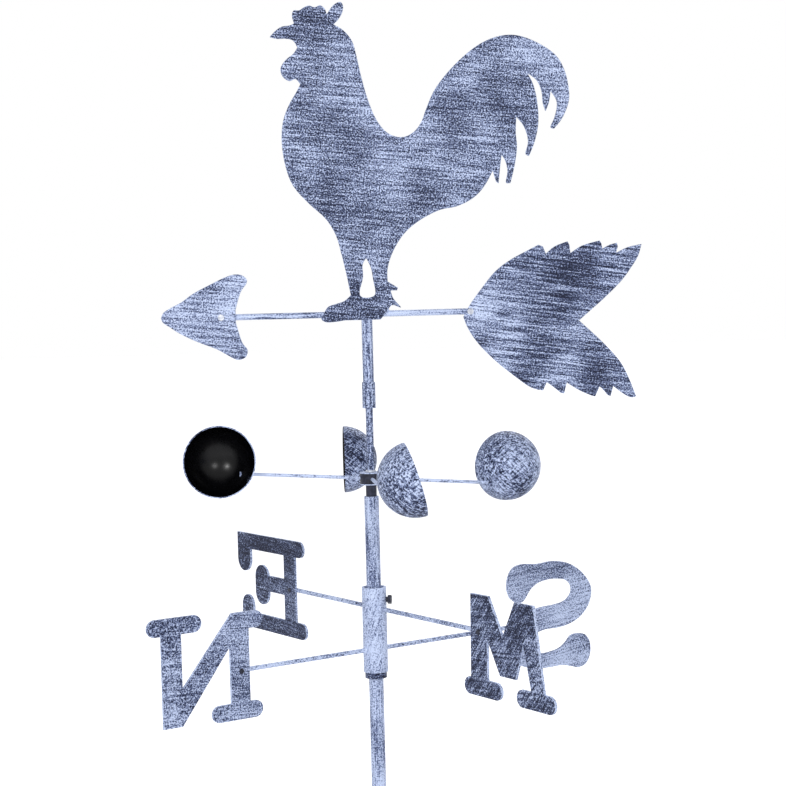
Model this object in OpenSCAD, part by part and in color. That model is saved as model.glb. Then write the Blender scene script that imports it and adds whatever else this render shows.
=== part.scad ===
// Weather vane on a garden stake: a rooster and arrow that turn on a thin spindle,
// four wind cups that spin below it, and two pairs of compass letters on collars.
// Millimetres, +Z up, the ground line at Z = 0 on the mast's axis, the arrow along X.

/* [Heights] */
// Height of the arrow rod above the ground line
arrow_z = 655; // [600:5:760]
// Height of the top of the mast tube
mast_top = 454; // [440:1:470]
// Height of the underside of the lower compass collar
collars_z = 259; // [220:1:290]

/* [Mast] */
// Outside diameter of the mast tubes
mast_d = 16; // [14:0.5:20]
// Wall thickness of the mast tubes
mast_wall = 1.4; // [1:0.1:2.5]
// Height of the joint between the two mast tubes
mast_joint_z = 236; // [150:1:240]
// Length of the pin that joins the two tubes
spigot_len = 90; // [50:1:140]
// Diameter of the spindle
spindle_d = 8; // [6:0.5:9]
// Height of the ring under the collars
ring_h = 6.5; // [4:0.5:12]
// Outside diameter of the ring under the collars
ring_d = 24; // [22:0.5:30]

/* [Stake] */
// Diameter of the centre spike
spike_d = 10; // [8:0.5:12]
// Straight length of the centre spike below the ground line
spike_len = 140; // [100:5:220]
// Length of the point on each spike
point_len = 24; // [15:1:40]
// Distance of each side prong from the mast
prong_reach = 52; // [40:1:75]
// Straight length of the side prongs
prong_len = 96; // [60:2:140]
// Length of the step bar
bar_len = 130; // [110:2:200]
// Width of the step bar
bar_w = 24; // [22:1:35]
// Thickness of the step bar
bar_t = 4; // [3:0.5:6]
// Height of the socket
socket_h = 70; // [50:1:110]

/* [Vane] */
// Thickness of the cut plates
plate_t = 3; // [2:0.5:4]
// Diameter of the arrow rod
arrow_rod_d = 6.8; // [6:0.2:9]
// Outside diameter of the vane's sleeve
sleeve_d = 12; // [11:0.5:15]
// Length of the vane's sleeve
sleeve_len = 97; // [80:1:140]
// Length of the wider lower end of the sleeve
sleeve_bush_len = 28.5; // [15:0.5:40]
// Wall of the wider lower end
sleeve_bush_wall = 1.3; // [1:0.1:3]

/* [Cups] */
// Outside diameter of a wind cup
cup_d = 78.4; // [60:0.2:90]
// Sheet thickness of a wind cup
cup_wall = 1.2; // [0.8:0.1:2.5]
// Distance of the cup centres from the mast
cup_reach = 162; // [140:1:190]
// How unevenly the left and right arms are pushed into the hub
arm_uneven = 5; // [0:0.5:6]
// How far the nearer cup has been bent in
cup_bend_in = 15; // [0:1:20]
// Distance of a cup's mouth in front of its arm
cup_offset = 25; // [20:1:28]
// Height of a cup's centre above its arm's end
cup_lift = 16; // [10:1:20]
// Diameter of the cup arms
cup_arm_d = 3.8; // [3:0.2:5]
// Angle of the first cup arm from the arrow's line
cups_angle = 8; // [0:1:45]
// Diameter of the cup hub
hub_d = 24.4; // [20:0.2:32]
// Height of the cup hub between its washers
hub_h = 11.5; // [9:0.5:20]

/* [Compass] */
// Outside diameter of the compass collars
collar_d = 27; // [25:0.5:34]
// Height of each compass collar
collar_h = 47; // [35:1:60]
// Diameter of the compass rods
rod_d = 5; // [4:0.2:7]
// Direction of the south rod from the arrow's line
compass_angle = 35; // [20:1:60]
// Angle from the south rod to the east rod
compass_square = 90; // [80:1:100]
// Half width of the letters' rounded slabs
slab_r = 9; // [7:0.2:10]

/* [Fits] */
// Radial running gap of turning parts
run_gap = 0.06; // [0.02:0.01:0.1]
// Height gap between turning parts
end_gap = 0.2; // [0.2:0.1:0.6]

/* [Hidden] */
$fn = 64;
mast_r = mast_d / 2;
mast_bore = mast_r - mast_wall;
spindle_r = spindle_d / 2;
ring_top = collars_z - end_gap;
socket_wall = 2.5;
socket_r = mast_r + run_gap + socket_wall;
socket_screw_r = 3;
socket_screw_z = socket_h - 18;
plug_len = 40;
mast_foot = bar_t + plug_len + 4;
cap_h = 14;
bush_h = 13;
bush_d = 12;
hub_z = mast_top + bush_h + end_gap;
washer_h = 1;
hub_body_z = hub_z + washer_h;
hub_top = hub_body_z + hub_h + washer_h;
clip_h = 2;
clip_d = 11;
arm_z = hub_body_z + hub_h / 2;
arm_start = 7;
cup_r = cup_d / 2;
cup_inner_r = cup_r - cup_wall;
// rise of each arm's outer end, bent by hand, and the turn of each cup on its weld
arm_rise = [10, -3, -10, -7];
arm_turn = [180, 270, 0, 85.5];
cup_tip = [0, 16, 0, 0];
cup_twist = [0, 0, 16, 0];
cup_far = [cup_reach + arm_uneven, cup_reach, cup_reach - arm_uneven, cup_reach - cup_bend_in];
arm_past = 5;
sleeve_top = arrow_z - 6.5;
sleeve_z = sleeve_top - sleeve_len;
sleeve_cap = 3.5;
pad_h = 5;
spindle_top = sleeve_top - sleeve_cap - pad_h - end_gap;
arrow_rod_y = plate_t / 2 + arrow_rod_d / 2;
rod_start = -176;
rod_end = 128;
rivet_x = -160;
tail_screw_x = 114;
pin_r = 1.5;
head_r = 3.4;
head_h = 1.6;
nut_r = 3.6;
nut_h = 2.4;
rod_in = mast_r + 2;
upper_collar_z = collars_z + collar_h + end_gap;
lower_rod_z = collars_z + 25;
upper_rod_z = upper_collar_z + 24;
mouth_d = mast_d + 6;
mouth_h = 3;
letter_side = rod_d / 2 + plate_t / 2;
set_screw_r = 3;
// the E is pushed a little further in than drawn
e_nearer = 8;

// one point of a smooth curve through b and c, with neighbours a and d
function curve_point(a, b, c, d, t) =
  0.5 * (2 * b + (c - a) * t + (2 * a - 5 * b + 4 * c - d) * t * t + (3 * b - a - 3 * c + d) * t * t * t);

// a smooth open curve through the points, without its last point
function bend(p, n = 4) = [
  for (i = [0 : len(p) - 2])
    for (k = [0 : n - 1])
      curve_point(p[max(i - 1, 0)], p[i], p[i + 1], p[min(i + 2, len(p) - 1)], k / n)];

module ring(r_out, r_in, h) {
  difference() {
    cylinder(r = r_out, h = h);
    translate([0, 0, -1]) cylinder(r = r_in, h = h + 2);
  }
}

// a flat bar with round ends, from a to b along the level
module slab(a, b, y, r) {
  translate([a, y - r]) square([b - a, 2 * r]);
  translate([a, y]) circle(r = r);
  translate([b, y]) circle(r = r);
}

// the same, standing upright
module post(x, a, b, r) {
  translate([x - r, a]) square([2 * r, b - a]);
  translate([x, a]) circle(r = r);
  translate([x, b]) circle(r = r);
}

module plate(y = 0) {
  translate([0, y + plate_t / 2, arrow_z]) rotate([90, 0, 0]) linear_extrude(plate_t) children();
}

// a rod out from the mast's axis
module radial(angle, z, r, from, to) {
  rotate([0, 0, angle]) translate([from, 0, z]) rotate([0, 90, 0]) cylinder(r = r, h = to - from);
}

// --- stake ---

module spike(r, top, bottom) {
  translate([0, 0, bottom]) cylinder(r = r, h = top - bottom);
  translate([0, 0, bottom - point_len]) cylinder(r1 = 0.6, r2 = r, h = point_len);
}

module centre_spike() {
  color([0.2, 0.21, 0.25]) union() {
    spike(spike_d / 2, 0, -spike_len);
    cylinder(r = spike_d / 2 - 1, h = bar_t);
    translate([0, 0, bar_t]) cylinder(r = mast_r, h = plug_len);
  }
}

module side_prong(x) {
  color([0.2, 0.21, 0.25]) translate([x, 0, 0]) spike(spike_d / 2 - 1, bar_t, -prong_len);
}

module step_bar() {
  color([0.2, 0.21, 0.25]) difference() {
    translate([-bar_len / 2, -bar_w / 2, 0]) cube([bar_len, bar_w, bar_t]);
    translate([0, 0, -1]) cylinder(r = spike_d / 2 - 1, h = bar_t + 2);
    for (x = [-prong_reach, prong_reach])
      translate([x, 0, -1]) cylinder(r = spike_d / 2 - 1, h = bar_t + 2);
  }
}

module stake_socket() {
  color([0.45, 0.48, 0.58]) difference() {
    translate([0, 0, bar_t]) cylinder(r = socket_r, h = socket_h);
    translate([0, 0, bar_t - 1]) cylinder(r = mast_r, h = socket_h + 2);
    radial(-90, bar_t + socket_screw_z, socket_screw_r, 0, socket_r + 1);
  }
}

module socket_screw() {
  color([0.25, 0.26, 0.3]) union() {
    radial(-90, bar_t + socket_screw_z, socket_screw_r, mast_r, socket_r + 6);
    rotate([0, 0, -90]) translate([socket_r + 6, 0, bar_t + socket_screw_z]) rotate([0, 90, 0])
      linear_extrude(5) circle(r = 6, $fn = 6);
  }
}

// --- mast ---

module lower_mast_tube() {
  color([0.62, 0.65, 0.76]) translate([0, 0, mast_foot]) ring(mast_r, mast_bore, mast_joint_z - mast_foot);
}

module mast_spigot() {
  color([0.5, 0.52, 0.6]) translate([0, 0, mast_joint_z - spigot_len / 2])
    ring(mast_bore, mast_bore - 1.2, spigot_len);
}

module upper_mast_tube() {
  color([0.62, 0.65, 0.76]) translate([0, 0, mast_joint_z]) ring(mast_r, mast_bore, mast_top - mast_joint_z);
}

module stop_ring() {
  color([0.3, 0.32, 0.4]) translate([0, 0, ring_top - ring_h]) ring(ring_d / 2, mast_r, ring_h);
}

module mast_plug() {
  color([0.4, 0.42, 0.5]) translate([0, 0, mast_top - cap_h]) ring(mast_bore, spindle_r, cap_h);
}

module spindle() {
  color([0.7, 0.72, 0.8]) union() {
    translate([0, 0, mast_top - cap_h]) cylinder(r = spindle_r, h = spindle_top - 2 - mast_top + cap_h);
    translate([0, 0, spindle_top - 2]) cylinder(r1 = spindle_r, r2 = spindle_r - 2, h = 2);
  }
}

module hub_bush() {
  color([0.08, 0.09, 0.14]) translate([0, 0, mast_top]) ring(bush_d / 2, spindle_r, bush_h);
}

module spindle_clip() {
  color([0.5, 0.52, 0.6]) translate([0, 0, hub_top + end_gap]) ring(clip_d / 2, spindle_r, clip_h);
}

// --- cups ---

// the point where the arm meets the cup, measured out from the mast
function arm_end(i) = cup_far[i] - sqrt(cup_r * cup_r - cup_offset * cup_offset - cup_lift * cup_lift);

function arm_slope(i) = atan2(arm_rise[i], arm_end(i));

module arm_wire(i, r, from, to) {
  rotate([0, 0, cups_angle + arm_turn[i]]) translate([0, 0, arm_z]) rotate([0, 90 - arm_slope(i), 0])
    translate([0, 0, from]) cylinder(r = r, h = to - from);
}

module cup_place(i) {
  rotate([0, 0, cups_angle + arm_turn[i]])
    translate([cup_far[i], cup_offset, arm_z + arm_rise[i] + cup_lift]) children();
}

module cup_ball(i, r) {
  cup_place(i) sphere(r = r);
}

module cup_arm(i) {
  color([0.75, 0.78, 0.88]) difference() {
    arm_wire(i, cup_arm_d / 2, arm_start, arm_end(i) + arm_past);
    cup_ball(i, cup_r);
  }
}

module cup(i) {
  color([0.55, 0.58, 0.7]) cup_place(i) rotate([cup_tip[i], 0, cup_twist[i]]) difference() {
    sphere(r = cup_r);
    sphere(r = cup_inner_r);
    translate([-2 * cup_r, 0, -2 * cup_r]) cube([4 * cup_r, 4 * cup_r, 4 * cup_r]);
  }
}

module cup_hub() {
  color([0.1, 0.11, 0.17]) difference() {
    translate([0, 0, hub_body_z]) cylinder(r = hub_d / 2, h = hub_h);
    translate([0, 0, hub_body_z - 1]) cylinder(r = spindle_r + run_gap, h = hub_h + 2);
    for (i = [0 : 3]) arm_wire(i, cup_arm_d / 2, arm_start, hub_d);
  }
}

module hub_washer(z) {
  color([0.6, 0.63, 0.74]) translate([0, 0, z]) ring(hub_d / 2 + 0.4, spindle_r + run_gap, washer_h);
}

// --- vane ---

module vane_sleeve() {
  color([0.6, 0.63, 0.74]) difference() {
    translate([0, 0, sleeve_z]) cylinder(r = sleeve_d / 2, h = sleeve_len);
    translate([0, 0, sleeve_z - 1]) cylinder(r = spindle_r + run_gap, h = sleeve_len + 1 - sleeve_cap);
  }
}

module sleeve_bush() {
  color([0.4, 0.43, 0.54]) translate([0, 0, sleeve_z])
    ring(sleeve_d / 2 + sleeve_bush_wall, sleeve_d / 2, sleeve_bush_len);
}

module pivot_pad() {
  color([0.9, 0.88, 0.8]) translate([0, 0, sleeve_top - sleeve_cap - pad_h]) cylinder(r = spindle_r + run_gap, h = pad_h);
}

module arrow_cross(x, r, from, to) {
  translate([x, from, arrow_z]) rotate([-90, 0, 0]) cylinder(r = r, h = to - from);
}

module arrow_rod() {
  color([0.75, 0.78, 0.88]) difference() {
    translate([rod_start, arrow_rod_y, arrow_z]) rotate([0, 90, 0])
      cylinder(r = arrow_rod_d / 2, h = rod_end - rod_start);
    arrow_cross(rivet_x, pin_r, -10, 20);
    arrow_cross(tail_screw_x, pin_r, -10, 20);
  }
}

beak_and_comb = concat(
  bend([[-98, 304], [-91, 311], [-84, 315], [-76, 316], [-71, 318]]),
  bend([[-71, 318], [-73, 326], [-71, 332], [-65, 332], [-60, 335], [-54, 337], [-48, 335], [-42, 337], [-37, 333], [-35, 327]]),
  bend([[-35, 327], [-31, 333], [-26, 338], [-20, 340], [-17, 336], [-18, 329], [-22, 322], [-28, 316]]));
back_and_tail = concat(
  bend([[-28, 316], [-17, 309], [-8, 297], [-4, 282], [1, 258], [7, 235], [16, 212], [28, 197], [43, 192],
    [56, 197], [65, 208], [71, 223], [80, 242], [95, 261], [114, 279], [133, 292], [153, 299], [172, 299],
    [193, 291], [213, 277], [223, 259], [227, 238], [226, 224], [219, 208], [210, 197]]),
  bend([[210, 197], [206, 199], [210, 208], [213, 218], [213, 228], [207, 238]]),
  bend([[207, 238], [205, 226], [201, 216]]),
  bend([[201, 216], [198, 226], [197, 238], [192, 250], [182, 258]]),
  bend([[182, 258], [188, 246], [192, 228], [193, 205], [189, 185], [182, 168]]),
  bend([[182, 168], [178, 171], [181, 182], [180, 192], [176, 202], [169, 211]]),
  bend([[169, 211], [168, 194], [169, 178], [166, 158], [161, 139]]),
  bend([[161, 139], [156, 140], [158, 152], [156, 163], [152, 170]]),
  bend([[152, 170], [150, 156], [148, 139]]),
  bend([[148, 139], [145, 142], [142, 153]]));
belly = concat(
  bend([[142, 153], [136, 142], [128, 131], [117, 122], [101, 115], [84, 112], [66, 104], [51, 94], [41, 84],
    [33, 72], [27, 59], [24, 47], [24, 35]]),
  [[24, 35], [35, 28], [34, 25], [27, 25]],
  bend([[27, 25], [30, 16], [38, 6], [28, 9], [22, 1], [15, -6.5]]));
toes = concat(
  [[15, -6.5], [-24, -6.5]],
  bend([[-24, -6.5], [-35, -8], [-45, -8], [-50, -4], [-47, 2], [-42, 9], [-33, 12], [-24, 15], [-17, 21]]));
chest = concat(
  bend([[-17, 21], [-19, 32], [-21, 43], [-26, 66], [-32, 88], [-43, 106], [-60, 122], [-77, 142], [-85, 165],
    [-88, 190], [-86, 212], [-79, 230], [-71, 243], [-66, 252]]),
  bend([[-66, 252], [-71, 258], [-78, 256], [-85, 261], [-87, 270], [-81, 279], [-73, 285], [-68, 292]]),
  bend([[-68, 292], [-73, 300], [-82, 302], [-90, 302], [-98, 304]]));
leg_gap = bend([[1, 61], [-3, 54], [-3, 40], [-7, 25], [-5, 19], [3, 18], [10, 22], [8, 37], [6, 50], [1, 61]]);

module rooster_plate() {
  color([0.45, 0.48, 0.6]) plate() difference() {
    polygon(concat(beak_and_comb, back_and_tail, belly, toes, chest));
    polygon(leg_gap);
  }
}

head_edge = concat(
  bend([[-226, 1], [-223, 7], [-215, 12], [-203, 18], [-190, 27], [-172, 36], [-152, 45], [-140, 47], [-132, 43],
    [-131, 37], [-138, 27], [-144, 8]]),
  [[-144, 8], [-144, -6]],
  bend([[-144, -6], [-138, -27], [-132, -36], [-134, -44], [-142, -47], [-150, -44], [-165, -35], [-187, -26],
    [-205, -17], [-217, -9], [-224, -4], [-226, 1]]));

module arrowhead_plate() {
  color([0.62, 0.65, 0.78]) difference() {
    plate() polygon(head_edge);
    arrow_cross(rivet_x, pin_r, -10, 20);
  }
}

module arrowhead_rivet() {
  color([0.7, 0.72, 0.8]) union() {
    arrow_cross(rivet_x, pin_r, -plate_t / 2, arrow_rod_y + arrow_rod_d / 2);
    arrow_cross(rivet_x, head_r, -plate_t / 2 - head_h, -plate_t / 2);
    arrow_cross(rivet_x, head_r - 0.8, arrow_rod_y + arrow_rod_d / 2, arrow_rod_y + arrow_rod_d / 2 + 1.4);
  }
}

tail_edge = concat(
  bend([[106, -6], [114, 8], [126, 24], [142, 43], [160, 56], [180, 66], [190, 71]]),
  [[190, 71], [195, 69], [198, 61]],
  bend([[198, 61], [208, 69], [222, 74]]),
  [[222, 74], [224, 70], [225, 61]],
  bend([[225, 61], [238, 69], [257, 74]]),
  [[257, 74], [259, 71], [260, 65]],
  bend([[260, 65], [268, 69], [276, 71]]),
  [[276, 71], [277, 67], [275, 60]],
  bend([[275, 60], [288, 66], [303, 69]]),
  bend([[303, 69], [299, 56], [290, 42], [279, 28], [259, 9], [233, -13]]),
  bend([[233, -13], [258, -37], [277, -59], [287, -79], [294, -98]]),
  bend([[294, -98], [288, -99], [279, -94], [269, -86]]),
  [[269, -86], [266, -97], [263, -96]],
  bend([[263, -96], [259, -91], [254, -86]]),
  [[254, -86], [249, -97], [245, -96]],
  bend([[245, -96], [232, -90], [218, -81]]),
  [[218, -81], [215, -93], [211, -92]],
  bend([[211, -92], [204, -86], [196, -80]]),
  [[196, -80], [192, -89], [186, -88]],
  bend([[186, -88], [176, -84], [159, -71], [140, -55], [122, -36], [111, -19], [106, -6]]));

module tail_plate() {
  color([0.4, 0.43, 0.56]) difference() {
    plate() polygon(tail_edge);
    arrow_cross(tail_screw_x, pin_r, -10, 20);
  }
}

module tail_screw() {
  color([0.7, 0.72, 0.8]) union() {
    arrow_cross(tail_screw_x, pin_r, -plate_t / 2, arrow_rod_y + arrow_rod_d / 2 + nut_h);
    arrow_cross(tail_screw_x, head_r, -plate_t / 2 - head_h, -plate_t / 2);
  }
}

module tail_nut() {
  color([0.5, 0.52, 0.6]) difference() {
    translate([tail_screw_x, arrow_rod_y + arrow_rod_d / 2, arrow_z]) rotate([-90, 0, 0])
      linear_extrude(nut_h) circle(r = nut_r, $fn = 6);
    arrow_cross(tail_screw_x, pin_r, -10, 30);
  }
}

// two short beads that hold the rod to the back of the feet
module rod_weld() {
  color([0.5, 0.53, 0.62]) difference() {
    for (x = [-30, 18])
      translate([x - 7, plate_t / 2 + 1.1, arrow_z + arrow_rod_d / 2 - 0.4]) rotate([0, 90, 0]) cylinder(r = 1.6, h = 14);
    translate([-60, arrow_rod_y, arrow_z]) rotate([0, 90, 0]) cylinder(r = arrow_rod_d / 2, h = 120);
    translate([-60, -plate_t, arrow_z - 10]) cube([120, 1.5 * plate_t, 30]);
  }
}

// --- compass ---

module collar(z, a, b, screw) {
  color([0.66, 0.69, 0.8]) difference() {
    translate([0, 0, z]) cylinder(r = collar_d / 2, h = collar_h);
    translate([0, 0, z - 1]) cylinder(r = mast_r + run_gap, h = collar_h + 2);
    translate([0, 0, z + collar_h - mouth_h]) cylinder(r = mouth_d / 2, h = mouth_h + 1);
    radial(a, z == collars_z ? lower_rod_z : upper_rod_z, rod_d / 2, rod_in, collar_d);
    radial(b, z == collars_z ? lower_rod_z : upper_rod_z, rod_d / 2, rod_in, collar_d);
    radial(screw, z + collar_h - 14, set_screw_r, mast_r - 1, collar_d);
  }
}

module set_screw(z, angle) {
  color([0.15, 0.16, 0.22]) union() {
    radial(angle, z + collar_h - 14, set_screw_r, mast_r + end_gap, collar_d / 2 + 2);
    rotate([0, 0, angle]) translate([collar_d / 2 + 2, 0, z + collar_h - 14]) rotate([0, 90, 0])
      linear_extrude(4) circle(r = 5, $fn = 6);
  }
}

module compass_rod(angle, z, to, screw_at) {
  color([0.6, 0.63, 0.74]) difference() {
    radial(angle, z, rod_d / 2, rod_in, to);
    rotate([0, 0, angle]) translate([screw_at, -10, z]) rotate([-90, 0, 0]) cylinder(r = pin_r, h = 20);
  }
}

module letter(angle, z, side, screw_at, tone) {
  color(tone) difference() {
    rotate([0, 0, angle]) translate([0, side * letter_side + plate_t / 2, z]) rotate([90, 0, 0])
      linear_extrude(plate_t) children();
    rotate([0, 0, angle]) translate([screw_at, -10, z]) rotate([-90, 0, 0]) cylinder(r = pin_r, h = 20);
  }
}

module letter_screw(angle, z, side, screw_at) {
  color([0.2, 0.21, 0.28]) rotate([0, 0, angle]) translate([screw_at, 0, z]) rotate([-90 * side, 0, 0]) union() {
    translate([0, 0, -rod_d / 2]) cylinder(r = pin_r, h = rod_d + plate_t);
    translate([0, 0, rod_d / 2 + plate_t]) cylinder(r1 = 3, r2 = 2.2, h = 1.4);
  }
}

module shape_n() {
  slab(229, 274, 57, slab_r);
  translate([244, -30]) square([23, 87]);
  polygon([[243, -8], [184, 62.5], [176, 62.5], [186, 29], [245, -48], [267, -48], [267, -8]]);
  slab(156, 178, 53.5, slab_r);
  translate([164, -42]) square([23, 95]);
  slab(158, 201, -42, slab_r);
}

module shape_e() {
  translate([166, -48]) square([24, 98]);
  slab(156, 270, 49.5, slab_r + 0.5);
  translate([268, 40]) square([30, 19]);
  post(283, 27, 44, 15);
  slab(180, 240, 2, slab_r + 0.5);
  post(242, -10, 8, 15);
  slab(153, 270, -47, slab_r + 0.5);
  translate([264, -56.5]) square([26, 19]);
  post(277, -44, -30, 13);
}

module shape_w() {
  polygon([[181, -57], [208, -57], [209, -5], [229, -40], [254, -40], [267, -3], [280, -57], [299, -57],
    [283, 37.5], [254, 37.5], [234, 0], [212, 38.5], [183, 38.5]]);
  slab(179, 222, -57, slab_r);
  slab(264, 305, -57, slab_r);
}

s_edge = concat(
  bend([[188, 35], [184, 46], [186, 60], [194, 70], [208, 73], [230, 71], [252, 72], [275, 68], [295, 57],
    [309, 42], [313, 29], [308, 14], [296, 2], [280, -5], [262, -8], [240, -8], [226, -11], [218, -18],
    [217, -26], [223, -33], [236, -36], [252, -35], [264, -32], [273, -26]]),
  bend([[273, -26], [280, -20], [291, -19], [302, -22], [309, -32], [309, -46], [302, -57], [290, -60],
    [278, -57], [264, -54], [246, -54], [228, -53], [209, -49], [193, -41], [182, -29], [179, -16], [184, -3],
    [196, 8], [212, 15], [233, 19], [256, 20], [272, 23], [281, 31], [281, 40], [274, 47], [262, 50],
    [248, 51], [232, 49], [220, 43], [213, 35], [207, 29], [198, 28], [188, 35]]));

module shape_s() {
  polygon(s_edge);
}

south = compass_angle;
north = compass_angle + 180;
east = compass_angle + compass_square;
west = east + 180;

centre_spike();
side_prong(-prong_reach);  // side_prong_1
side_prong(prong_reach);  // side_prong_2
step_bar();
stake_socket();
socket_screw();
lower_mast_tube();
mast_spigot();
upper_mast_tube();
stop_ring();
mast_plug();
spindle();
hub_bush();
spindle_clip();
cup_hub();
hub_washer(hub_top - washer_h);  // hub_washer_top
hub_washer(hub_z);  // hub_washer_bottom
cup_arm(0);  // cup_arm_1
cup_arm(1);  // cup_arm_2
cup_arm(2);  // cup_arm_3
cup_arm(3);  // cup_arm_4
cup(0);  // cup_1
cup(1);  // cup_2
cup(2);  // cup_3
cup(3);  // cup_4
vane_sleeve();
sleeve_bush();
pivot_pad();
rooster_plate();
arrow_rod();
arrowhead_plate();
arrowhead_rivet();
tail_plate();
tail_screw();
tail_nut();
rod_weld();
collar(collars_z, north, south, 100);  // lower_collar
set_screw(collars_z, 100);  // lower_set_screw
compass_rod(north, lower_rod_z, 182, 174);  // north_rod
compass_rod(south, lower_rod_z, 214, 206);  // south_rod
letter(north, lower_rod_z, 1, 174, [0.5, 0.53, 0.66]) shape_n();  // letter_n
letter(south, lower_rod_z, -1, 206, [0.62, 0.65, 0.78]) shape_s();  // letter_s
letter_screw(north, lower_rod_z, 1, 174);  // letter_screw_n
letter_screw(south, lower_rod_z, -1, 206);  // letter_screw_s
collar(upper_collar_z, east, west, -10);  // upper_collar
set_screw(upper_collar_z, -10);  // upper_set_screw
compass_rod(east, upper_rod_z, 186 - e_nearer, 178 - e_nearer);  // east_rod
compass_rod(west, upper_rod_z, 204, 195);  // west_rod
letter(east, upper_rod_z, 1, 178 - e_nearer, [0.3, 0.33, 0.45]) translate([-e_nearer, 0]) shape_e();  // letter_e
letter(west, upper_rod_z, -1, 195, [0.3, 0.33, 0.45]) shape_w();  // letter_w
letter_screw(east, upper_rod_z, 1, 178 - e_nearer);  // letter_screw_e
letter_screw(west, upper_rod_z, -1, 195);  // letter_screw_w
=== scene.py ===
import bpy, bmesh, math
from mathutils import Matrix, Vector


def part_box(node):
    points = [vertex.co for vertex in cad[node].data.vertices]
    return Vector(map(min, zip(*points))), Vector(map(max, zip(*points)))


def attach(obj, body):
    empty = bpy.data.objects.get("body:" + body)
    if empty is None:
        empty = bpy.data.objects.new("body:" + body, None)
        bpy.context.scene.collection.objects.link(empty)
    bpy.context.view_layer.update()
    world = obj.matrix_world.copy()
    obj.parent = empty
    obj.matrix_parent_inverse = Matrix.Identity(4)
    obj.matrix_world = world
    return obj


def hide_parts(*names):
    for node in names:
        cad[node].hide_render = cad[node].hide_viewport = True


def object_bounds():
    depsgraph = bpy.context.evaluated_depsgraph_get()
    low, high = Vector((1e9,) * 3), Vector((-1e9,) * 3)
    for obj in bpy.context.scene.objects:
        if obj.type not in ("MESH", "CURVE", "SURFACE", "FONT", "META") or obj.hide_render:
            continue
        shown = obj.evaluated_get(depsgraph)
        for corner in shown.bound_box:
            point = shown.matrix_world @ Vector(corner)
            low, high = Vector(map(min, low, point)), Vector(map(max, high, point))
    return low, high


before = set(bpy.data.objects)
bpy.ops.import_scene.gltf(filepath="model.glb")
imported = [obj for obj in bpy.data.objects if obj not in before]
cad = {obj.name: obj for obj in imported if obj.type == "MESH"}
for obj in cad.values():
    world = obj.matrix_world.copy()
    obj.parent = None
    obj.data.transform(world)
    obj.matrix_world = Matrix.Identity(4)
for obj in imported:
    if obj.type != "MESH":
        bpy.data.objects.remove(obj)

# The box of the bare frame, measured before the finished parts are added; the floor sits just under its
# bottom.
bare_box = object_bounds()

# --- Camera and studio ---
# A long lens a little above the arrow, tipped slightly down and slightly to one side.
# The floor lies where the stake's point ends, and it and the room are plain white.
tip_down = math.radians(2.86)
lean = math.radians(1.46)
aside = math.radians(0.13)
level = Vector((math.cos(aside), math.sin(aside), 0))
toward = Vector((-math.sin(aside), math.cos(aside), 0))
upright = toward * math.sin(tip_down) + Vector((0, 0, math.cos(tip_down)))
ahead = toward * math.cos(tip_down) - Vector((0, 0, math.sin(tip_down)))
right = level * math.cos(lean) - upright * math.sin(lean)
up = upright * math.cos(lean) + level * math.sin(lean)
arrow_low, arrow_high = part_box("arrow_rod")
arrow_height = (arrow_low[2] + arrow_high[2]) / 2
focal_mm = 81.5
film_width_mm = 36
camera_right = 0.0311
camera_back = 1.9567
camera_above_arrow = 0.0101
lens = bpy.data.cameras.new("studio_camera")
lens.lens = focal_mm
lens.sensor_width = film_width_mm
camera = bpy.data.objects.new("studio_camera", lens)
bpy.context.collection.objects.link(camera)
turn = Matrix((right, up, -ahead)).transposed().to_4x4()
camera_place = (camera_right, -camera_back, arrow_height + camera_above_arrow)
camera.matrix_world = Matrix.Translation(camera_place) @ turn
bpy.context.scene.camera = camera
bpy.context.scene.view_settings.view_transform = "Standard"


def seen_directly(tree):
    """1 where the surface is seen by the eye, in a mirror or through glass, and 0 as a light."""
    nodes, links = tree.nodes, tree.links
    path = nodes.new("ShaderNodeLightPath")
    first = nodes.new("ShaderNodeMath")
    first.operation = "MAXIMUM"
    both = nodes.new("ShaderNodeMath")
    both.operation = "MAXIMUM"
    links.new(path.outputs["Is Camera Ray"], first.inputs[0])
    links.new(path.outputs["Is Glossy Ray"], first.inputs[1])
    links.new(first.outputs[0], both.inputs[0])
    links.new(path.outputs["Is Transmission Ray"], both.inputs[1])
    return both.outputs[0]


room = bpy.data.worlds.new("white_room")
bpy.context.scene.world = room
room.use_nodes = True
room_nodes, room_links = room.node_tree.nodes, room.node_tree.links
room_light = room_nodes["Background"]
room_tone = room_nodes.new("ShaderNodeMix")
room_tone.data_type = "RGBA"
room_tone.inputs["A"].default_value = (0.66, 0.67, 0.7, 1)
room_tone.inputs["B"].default_value = (1, 1, 1, 1)
room_links.new(seen_directly(room.node_tree), room_tone.inputs["Factor"])
room_links.new(room_tone.outputs["Result"], room_light.inputs["Color"])
room_light.inputs["Strength"].default_value = 1.0

floor_half_width = 30
floor_gap = 0.0005
floor_mesh = bpy.data.meshes.new("studio_floor")
shape = bmesh.new()
bmesh.ops.create_grid(shape, x_segments=1, y_segments=1, size=floor_half_width)
bmesh.ops.translate(shape, verts=shape.verts, vec=(0, 0, bare_box[0][2] - floor_gap))
shape.to_mesh(floor_mesh)
shape.free()
floor = bpy.data.objects.new("studio_floor", floor_mesh)
bpy.context.collection.objects.link(floor)
floor_finish = bpy.data.materials.new("floor_white")
floor_finish.use_nodes = True
floor_tree = floor_finish.node_tree
floor_shader = floor_tree.nodes["Principled BSDF"]
floor_shader.inputs["Base Color"].default_value = (0.86, 0.86, 0.87, 1)
floor_shader.inputs["Roughness"].default_value = 0.9
floor_shader.inputs["Emission Strength"].default_value = 0.55
floor_tree.links.new(seen_directly(floor_tree), floor_shader.inputs["Emission Color"])
floor_mesh.materials.append(floor_finish)


lamps_aim_below_arrow = 0.15


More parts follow.
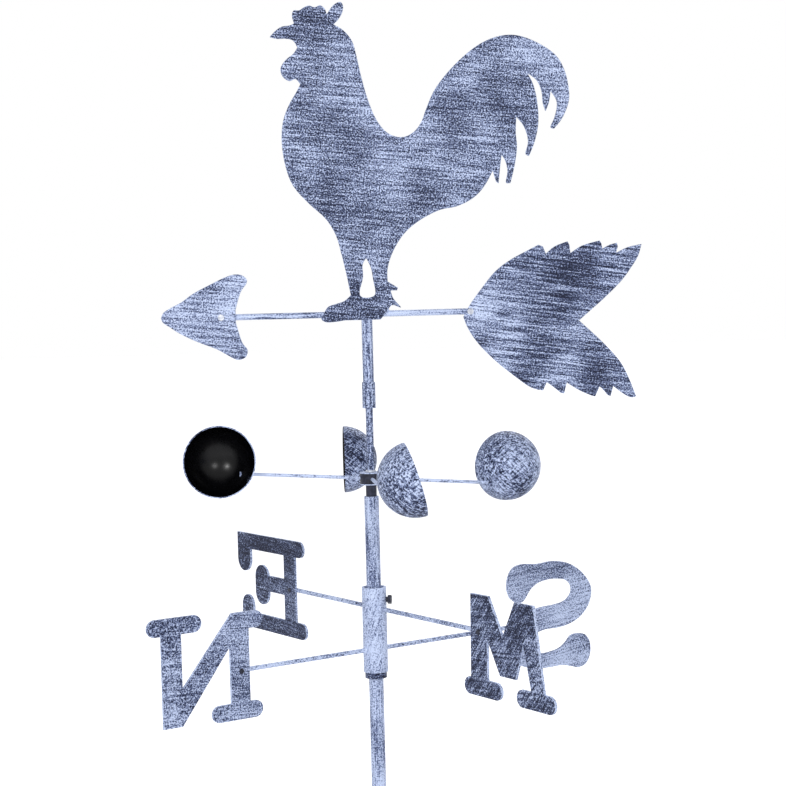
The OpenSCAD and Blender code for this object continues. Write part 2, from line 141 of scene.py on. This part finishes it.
def softbox(name, place, size, watts):
    """A square lamp that faces the middle of the vane."""
    lamp = bpy.data.lights.new(name, "AREA")
    lamp.size = size
    lamp.energy = watts
    holder = bpy.data.objects.new(name, lamp)
    bpy.context.collection.objects.link(holder)
    aim = Vector((0, 0, arrow_height - lamps_aim_below_arrow)) - Vector(place)
    holder.matrix_world = Matrix.Translation(place) @ aim.to_track_quat("-Z", "Y").to_matrix().to_4x4()


softbox("lamp_left", (-1.1, -2.6, 1.4), 0.4, 26)
softbox("lamp_right", (0.9, -2.7, 1.3), 0.35, 16)
softbox("lamp_back", (0.8, 2.4, 2.2), 1.2, 16)

# --- Rooster ---
# A flat cut of 3 mm sheet steel, powder coated black and then dry-brushed by hand with a pale
# silver blue that catches on the coat's texture; its cut edge is almost bare of black.


def socket(group, name, kind, way, value=None):
    """Adds one named input or output to a shader group."""
    made = group.interface.new_socket(name=name, in_out=way, socket_type=kind)
    if value is not None:
        made.default_value = value
    return made


def maths(tree, what, a, b):
    """One sum of two numbers or links."""
    node = tree.nodes.new("ShaderNodeMath")
    node.operation = what
    for place, value in ((0, a), (1, b)):
        if isinstance(value, (int, float)):
            node.inputs[place].default_value = value
        else:
            tree.links.new(value, node.inputs[place])
    return node.outputs[0]


def noise(tree, vector, scale, detail=2.0, rough=0.6):
    """Soft random texture at a scale given in marks per metre."""
    node = tree.nodes.new("ShaderNodeTexNoise")
    node.inputs["Scale"].default_value = scale
    node.inputs["Detail"].default_value = detail
    node.inputs["Roughness"].default_value = rough
    tree.links.new(vector, node.inputs["Vector"])
    return node.outputs["Fac"]


def drawn_out(tree, vector, stretch):
    """The same pattern drawn out along its first axis."""
    node = tree.nodes.new("ShaderNodeVectorMath")
    node.operation = "MULTIPLY"
    node.inputs[1].default_value = (stretch, 1, 1)
    tree.links.new(vector, node.inputs[0])
    return node.outputs[0]


dry_brush = bpy.data.node_groups.new("dry_brush", "ShaderNodeTree")
socket(dry_brush, "Along", "NodeSocketVector", "INPUT")
socket(dry_brush, "Across", "NodeSocketVector", "INPUT")
socket(dry_brush, "Cover", "NodeSocketFloat", "INPUT", 0.0)
socket(dry_brush, "Speckle", "NodeSocketFloat", "INPUT", 2.2)
socket(dry_brush, "Streak", "NodeSocketFloat", "INPUT", 1.8)
socket(dry_brush, "Hatch", "NodeSocketFloat", "INPUT", 0.0)
socket(dry_brush, "Color", "NodeSocketColor", "OUTPUT")
socket(dry_brush, "Roughness", "NodeSocketFloat", "OUTPUT")
socket(dry_brush, "Height", "NodeSocketFloat", "OUTPUT")
brush_in = dry_brush.nodes.new("NodeGroupInput").outputs
brush_out = dry_brush.nodes.new("NodeGroupOutput").inputs
grain_marks = 620
stroke_marks = 520
stroke_stretch = 0.04
cross_marks = 560
cross_stretch = 0.12
patch_marks = 13
even = 0.5
stroke_axes = drawn_out(dry_brush, brush_in["Along"], stroke_stretch)
cross_axes = drawn_out(dry_brush, brush_in["Across"], cross_stretch)
grain = maths(dry_brush, "SUBTRACT", noise(dry_brush, brush_in["Along"], grain_marks, 3, 0.75), even)
stroke = maths(dry_brush, "SUBTRACT", noise(dry_brush, stroke_axes, stroke_marks, 4, 0.75), even)
cross = maths(dry_brush, "SUBTRACT", noise(dry_brush, cross_axes, cross_marks, 3), even)
patch = maths(dry_brush, "SUBTRACT", noise(dry_brush, brush_in["Along"], patch_marks, 2), even)
paint = maths(dry_brush, "ADD", maths(dry_brush, "MULTIPLY", grain, brush_in["Speckle"]),
    maths(dry_brush, "MULTIPLY", stroke, brush_in["Streak"]))
paint = maths(dry_brush, "ADD", paint, maths(dry_brush, "MULTIPLY", cross, brush_in["Hatch"]))
paint = maths(dry_brush, "ADD", paint, patch)
paint = maths(dry_brush, "ADD", maths(dry_brush, "ADD", paint, even), brush_in["Cover"])
shade = dry_brush.nodes.new("ShaderNodeValToRGB")
shade.color_ramp.elements[0].position = 0.24
shade.color_ramp.elements[0].color = (0.008, 0.011, 0.03, 1)
shade.color_ramp.elements[1].position = 0.82
shade.color_ramp.elements[1].color = (0.54, 0.62, 0.82, 1)
middle = shade.color_ramp.elements.new(0.5)
middle.color = (0.115, 0.15, 0.29, 1)
dry_brush.links.new(paint, shade.inputs["Fac"])
dry_brush.links.new(shade.outputs["Color"], brush_out["Color"])
coat_rough = 0.62
paint_smooths = 0.16
smoothing = maths(dry_brush, "MULTIPLY", paint, paint_smooths)
dry_brush.links.new(maths(dry_brush, "SUBTRACT", coat_rough, smoothing), brush_out["Roughness"])
dry_brush.links.new(paint, brush_out["Height"])


def turned(tree, vector, turn):
    """The pattern's axes, turned by these degrees about X, Y and Z."""
    node = tree.nodes.new("ShaderNodeMapping")
    node.inputs["Rotation"].default_value = [math.radians(a) for a in turn]
    tree.links.new(vector, node.inputs["Vector"])
    return node.outputs["Vector"]


def brushed_coat(name, facing=0, slope=0, cross_slope=60, cover=0.0, speckle=2.2, streak=1.8, hatch=0.0):
    """Black textured coat dry-brushed with silver blue, the strokes lying along one direction."""
    relief = 0.25
    relief_depth = 0.0004
    finish = bpy.data.materials.new(name)
    finish.use_nodes = True
    tree = finish.node_tree
    shader = tree.nodes["Principled BSDF"]
    place = tree.nodes.new("ShaderNodeTexCoord").outputs["Object"]
    flat = turned(tree, place, (0, 0, -facing))
    brush = tree.nodes.new("ShaderNodeGroup")
    brush.node_tree = dry_brush
    tree.links.new(turned(tree, flat, (0, slope, 0)), brush.inputs["Along"])
    tree.links.new(turned(tree, flat, (0, cross_slope, 0)), brush.inputs["Across"])
    brush.inputs["Cover"].default_value = cover
    brush.inputs["Speckle"].default_value = speckle
    brush.inputs["Streak"].default_value = streak
    brush.inputs["Hatch"].default_value = hatch
    bump = tree.nodes.new("ShaderNodeBump")
    bump.inputs["Strength"].default_value = relief
    bump.inputs["Distance"].default_value = relief_depth
    tree.links.new(brush.outputs["Color"], shader.inputs["Base Color"])
    tree.links.new(brush.outputs["Roughness"], shader.inputs["Roughness"])
    tree.links.new(brush.outputs["Height"], bump.inputs["Height"])
    tree.links.new(bump.outputs["Normal"], shader.inputs["Normal"])
    shader.inputs["Metallic"].default_value = 0.15
    shader.inputs["Specular IOR Level"].default_value = 0.22
    return finish


cut_edge = brushed_coat("cut_edge", slope=90, cover=0.2, speckle=3.0, streak=0.8)


def copied(node, body, smooth_under=35, soften=0.0):
    """A welded, clean copy of a frame part that stands for it, with its sharp edges softened."""
    same_point = 0.000002
    flat_within = math.radians(1)
    sharp_over = math.radians(60)
    shape = bmesh.new()
    shape.from_mesh(cad[node].data)
    bmesh.ops.remove_doubles(shape, verts=shape.verts, dist=same_point)
    bmesh.ops.dissolve_limit(shape, angle_limit=flat_within, verts=shape.verts, edges=shape.edges)
    if soften:
        sharp = [e for e in shape.edges if len(e.link_faces) == 2 and e.calc_face_angle(0) > sharp_over]
        bmesh.ops.bevel(shape, geom=sharp, offset=soften, offset_type="OFFSET", affect="EDGES",
            segments=1, profile=0.5, material=-1, clamp_overlap=True)
    for face in shape.faces:
        face.smooth = True
    for edge in shape.edges:
        two_sided = len(edge.link_faces) == 2
        edge.smooth = two_sided and edge.calc_face_angle(0) < math.radians(smooth_under)
    mesh = bpy.data.meshes.new("finished_" + node)
    shape.to_mesh(mesh)
    shape.free()
    piece = bpy.data.objects.new("finished_" + node, mesh)
    bpy.context.collection.objects.link(piece)
    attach(piece, body)
    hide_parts(node)
    return piece


def flat_cut(node, body, finish, edge_finish, broad):
    """A plate: its broad faces take one finish and its cut edge another."""
    cut_softening = 0.0003
    broad_within = 0.98
    piece = copied(node, body, smooth_under=30, soften=cut_softening)
    piece.data.materials.append(finish)
    piece.data.materials.append(edge_finish)
    for face in piece.data.polygons:
        face.material_index = 0 if abs(face.normal.dot(broad)) > broad_within else 1
    return piece


across_arrow = Vector((0, 1, 0))
rooster_coat = brushed_coat("rooster_coat", slope=-6, cover=-0.06, speckle=3.6, streak=1.6)
flat_cut("rooster_plate", "vane", rooster_coat, cut_edge, across_arrow)

# --- Arrow ---
# A thin rod welded behind the rooster's feet, with a cut head riveted to its front and a cut
# feather plate screwed to its back, all in the same brushed coat.
head_coat = brushed_coat("arrowhead_coat", slope=-6, cover=0.1, speckle=3.2, streak=1.7)
flat_cut("arrowhead_plate", "vane", head_coat, cut_edge, across_arrow)
tail_coat = brushed_coat("feather_coat", slope=-8, cover=-0.07, speckle=2.8, streak=2.2)
flat_cut("tail_plate", "vane", tail_coat, cut_edge, across_arrow)
rod_coat = brushed_coat("rod_coat", slope=0, cover=0.3, streak=2.6)


def round_part(node, body, finish, soften=0.0):
    """A turned or drawn part: a clean copy with its round faces smoothed."""
    piece = copied(node, body, soften=soften)
    piece.data.materials.append(finish)
    return piece


round_part("arrow_rod", "vane", rod_coat)
round_part("rod_weld", "vane", rod_coat)


def worn_metal(name, dark, pale, rough, metal, marks=260, shine=0.25):
    """Plain metal or paint with a fine mottled wear in two tones."""
    fine_share = 0.6
    broad_share = 0.4
    uneven = 0.4
    finish = bpy.data.materials.new(name)
    finish.use_nodes = True
    tree = finish.node_tree
    shader = tree.nodes["Principled BSDF"]
    place = tree.nodes.new("ShaderNodeTexCoord").outputs["Object"]
    fine = maths(tree, "MULTIPLY", noise(tree, place, marks, 3, 0.7), fine_share)
    blotches = maths(tree, "MULTIPLY", noise(tree, place, marks / 9, 2), broad_share)
    wear = maths(tree, "ADD", fine, blotches)
    tones = tree.nodes.new("ShaderNodeValToRGB")
    tones.color_ramp.elements[0].position = 0.4
    tones.color_ramp.elements[0].color = (*dark, 1)
    tones.color_ramp.elements[1].position = 0.62
    tones.color_ramp.elements[1].color = (*pale, 1)
    bump = tree.nodes.new("ShaderNodeBump")
    bump.inputs["Strength"].default_value = 0.12
    bump.inputs["Distance"].default_value = 0.0002
    tree.links.new(wear, tones.inputs["Fac"])
    tree.links.new(tones.outputs["Color"], shader.inputs["Base Color"])
    roughening = maths(tree, "MULTIPLY", maths(tree, "SUBTRACT", wear, 0.5), uneven)
    tree.links.new(maths(tree, "ADD", rough, roughening), shader.inputs["Roughness"])
    tree.links.new(wear, bump.inputs["Height"])
    tree.links.new(bump.outputs["Normal"], shader.inputs["Normal"])
    shader.inputs["Metallic"].default_value = metal
    shader.inputs["Specular IOR Level"].default_value = shine
    return finish


zinc = worn_metal("zinc_plate", (0.32, 0.34, 0.4), (0.7, 0.72, 0.76), 0.35, 0.8)
for fixing in ("arrowhead_rivet", "tail_screw", "tail_nut"):
    round_part(fixing, "vane", zinc)

# --- Sleeve ---
# The tube that the rooster stands on. It turns on the spindle, on a nylon pad in its closed top,
# and has a second short tube pressed over its lower end.
sleeve_coat = brushed_coat("sleeve_coat", slope=90, cover=0.08, streak=2.2)
round_part("vane_sleeve", "vane", sleeve_coat)
round_part("sleeve_bush", "vane", brushed_coat("sleeve_end_coat", slope=90, cover=0.0, speckle=3.0))
nylon = worn_metal("turned_nylon", (0.7, 0.68, 0.6), (0.86, 0.84, 0.78), 0.5, 0.0)
round_part("pivot_pad", "vane", nylon)

# --- Wind cups ---
# Four half balls spun from thin sheet, brushed outside and left plain glossy black inside,
# each welded to a wire that is pressed into the hub.
cup_coat = brushed_coat("cup_coat", facing=20, slope=38, cross_slope=-42, cover=-0.03, speckle=2.0,
    streak=2.2, hatch=2.2)
cup_inside = worn_metal("cup_inside", (0.0004, 0.0004, 0.0008), (0.0012, 0.0012, 0.002), 0.26, 0.0,
    marks=120, shine=0.2)
cup_rim = brushed_coat("cup_rim", slope=30, cover=0.1, speckle=2.4)


def ball_centre(mesh):
    """The centre that a cup's skin is struck from, found from four of its far apart points."""
    points = [v.co for v in mesh.vertices]
    a = points[0]
    b = max(points, key=lambda p: (p - a).length)
    c = max(points, key=lambda p: (p - a).length * (p - b).length)
    d = max(points, key=lambda p: abs((p - a).dot((b - a).cross(c - a))))
    rows = Matrix([(p - a) * 2 for p in (b, c, d)])
    sides = Vector([p.length_squared - a.length_squared for p in (b, c, d)])
    return rows.inverted() @ sides


skin_within = 0.6
for number in range(1, 5):
    piece = copied("cup_%d" % number, "cups", smooth_under=40)
    for finish in (cup_coat, cup_inside, cup_rim):
        piece.data.materials.append(finish)
    centre = ball_centre(piece.data)
    for face in piece.data.polygons:
        outward = face.normal.dot((face.center - centre).normalized())
        face.material_index = 0 if outward > skin_within else 1 if outward < -skin_within else 2
    round_part("cup_arm_%d" % number, "cups", rod_coat)

hub_black = worn_metal("hub_black", (0.006, 0.007, 0.013), (0.03, 0.034, 0.06), 0.4, 0.0)
round_part("cup_hub", "cups", hub_black)
washer_coat = brushed_coat("washer_coat", cover=0.3)
round_part("hub_washer_top", "cups", washer_coat)
round_part("hub_washer_bottom", "cups", washer_coat)

# --- Mast ---
# Two lengths of steel tube pushed over an inner pin, with a plug in the top that holds the thin
# spindle, a dark bush for the hub to sit on, and a ring that the compass collars rest on.
mast_coat = brushed_coat("mast_coat", slope=90, cover=0.16, speckle=2.2, streak=1.5)
for tube in ("upper_mast_tube", "lower_mast_tube", "stake_socket"):
    round_part(tube, "mast", mast_coat)
spindle_coat = brushed_coat("spindle_coat", slope=90, cover=0.0, speckle=2.8, streak=2.0)
round_part("spindle", "mast", spindle_coat)
round_part("hub_bush", "mast", hub_black)
round_part("stop_ring", "mast", brushed_coat("ring_coat", cover=-0.25, speckle=2.6))
for inner in ("spindle_clip", "mast_plug", "mast_spigot"):
    round_part(inner, "mast", zinc)

# --- Ground stake ---
# A flat bar to tread on, with a centre spike and two prongs welded through it and a socket on
# top, dipped in black paint that has rubbed thin.
dipped_black = worn_metal("dipped_black", (0.008, 0.009, 0.014), (0.045, 0.05, 0.07), 0.45, 0.0)
for part in ("centre_spike", "side_prong_1", "side_prong_2", "socket_screw"):
    round_part(part, "mast", dipped_black)
bar_softening = 0.0005
bar = copied("step_bar", "mast", soften=bar_softening)
bar.data.materials.append(dipped_black)

# --- Compass ---
# Two loose collars on the mast, each with two thin rods and two cut letters screwed to the rods'
# ends. The collars are pinched with set screws. The east and west pair is brushed more thinly.
collar_coat = brushed_coat("collar_coat", slope=70, cover=0.24, speckle=2.2, streak=1.2)
compass_rod_coat = brushed_coat("compass_rod_coat", slope=0, cover=0.2, streak=2.6)
collar_softening = 0.0007
letter_cover = {"n": 0.0, "s": 0.12, "e": -0.26, "w": -0.16}
letter_hatch = {"n": 0.0, "s": 0.0, "e": 0.0, "w": 1.6}
compass_halves = (("lower", ("north", "south")), ("upper", ("east", "west")))


def rod_end(point):
    """The far end of a compass rod, as a level step out from the mast's axis."""
    low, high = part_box(point + "_rod")
    end_x = high[0] if high[0] > -low[0] else low[0]
    end_y = high[1] if high[1] > -low[1] else low[1]
    return Vector((end_x, end_y, 0))


for half, pair in compass_halves:
    ridden = half + "_compass"
    round_part(half + "_collar", ridden, collar_coat, soften=collar_softening)
    round_part(half + "_set_screw", ridden, hub_black)
    for point in pair:
        round_part(point + "_rod", ridden, compass_rod_coat)
        letter = point[0]
        reach = rod_end(point)
        facing = math.degrees(math.atan2(reach.y, reach.x))
        letter_coat = brushed_coat("letter_%s_coat" % letter, facing=facing, slope=5, cross_slope=50,
            cover=letter_cover[letter], speckle=3.2, streak=1.3, hatch=letter_hatch[letter])
        broad = Vector((0, 0, 1)).cross(reach.normalized())
        flat_cut("letter_" + letter, ridden, letter_coat, cut_edge, broad)
        round_part("letter_screw_" + letter, ridden, hub_black)

# --- Weld beads on the collars and the cups ---
# Each compass rod is run round with a small bead of weld where it goes into its collar, and each
# cup's wire where it meets the cup. The beads are brushed over with the parts around them.
collar_low, collar_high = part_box("upper_collar")
collar_radius = (collar_high[0] - collar_low[0]) / 2


def bead(name, body, places, finish):
    """Low rounded rings of weld, each at (centre, direction, radius of the wire that it is on)."""
    inside_wire = 0.9
    root = -0.0012
    root_reach = 0.0021
    shoulder = 0.0009
    shoulder_reach = 0.0015
    brow = 0.0022
    brow_reach = 0.0004
    crown = 0.0024
    shape = bmesh.new()
    for centre, way, radius in places:
        before = set(shape.verts)
        outline = ((radius * inside_wire, root), (radius + root_reach, root),
            (radius + shoulder_reach, shoulder), (radius + brow_reach, brow), (radius * inside_wire, crown))
        start = [shape.verts.new((across, 0, along)) for across, along in outline]
        edges = [shape.edges.new(ends) for ends in zip(start, start[1:] + start[:1])]
        bmesh.ops.spin(shape, geom=start + edges, cent=(0, 0, 0), axis=(0, 0, 1), angle=math.tau,
            steps=28, use_merge=True)
        fresh = [v for v in shape.verts if v not in before]
        swing = Vector((0, 0, 1)).rotation_difference(way).to_matrix()
        bmesh.ops.rotate(shape, verts=fresh, cent=(0, 0, 0), matrix=swing)
        bmesh.ops.translate(shape, verts=fresh, vec=centre)
    bmesh.ops.remove_doubles(shape, verts=shape.verts, dist=0.00001)
    bmesh.ops.recalc_face_normals(shape, faces=shape.faces)
    for face in shape.faces:
        face.smooth = True
    mesh = bpy.data.meshes.new(name)
    shape.to_mesh(mesh)
    shape.free()
    mesh.materials.append(finish)
    piece = bpy.data.objects.new(name, mesh)
    bpy.context.collection.objects.link(piece)
    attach(piece, body)
    return piece


bead_sunk = 0.0002
for half, pair in compass_halves:
    rings = []
    for point in pair:
        rod_low, rod_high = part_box(point + "_rod")
        height = (rod_low[2] + rod_high[2]) / 2
        radius = (rod_high[2] - rod_low[2]) / 2
        way = rod_end(point).normalized()
        rings.append((way * (collar_radius - bead_sunk) + Vector((0, 0, height)), way, radius))
    bead(half + "_rod_beads", half + "_compass", rings, collar_coat)
blobs = []
bead_back = 0.0004
for number in range(1, 5):
    points = (v.co.copy() for v in cad["cup_arm_%d" % number].data.vertices)
    wire = sorted(points, key=lambda p: p.xy.length)
    few = max(4, len(wire) // 8)
    inner = sum(wire[:few], Vector()) / few
    outer = sum(wire[-few:], Vector()) / few
    way = (outer - inner).normalized()
    wire_radius = max((p - inner).cross(way).length for p in wire[:few])
    blobs.append((outer - way * bead_back, -way, wire_radius))
bead("cup_beads", "cups", blobs, cup_rim)
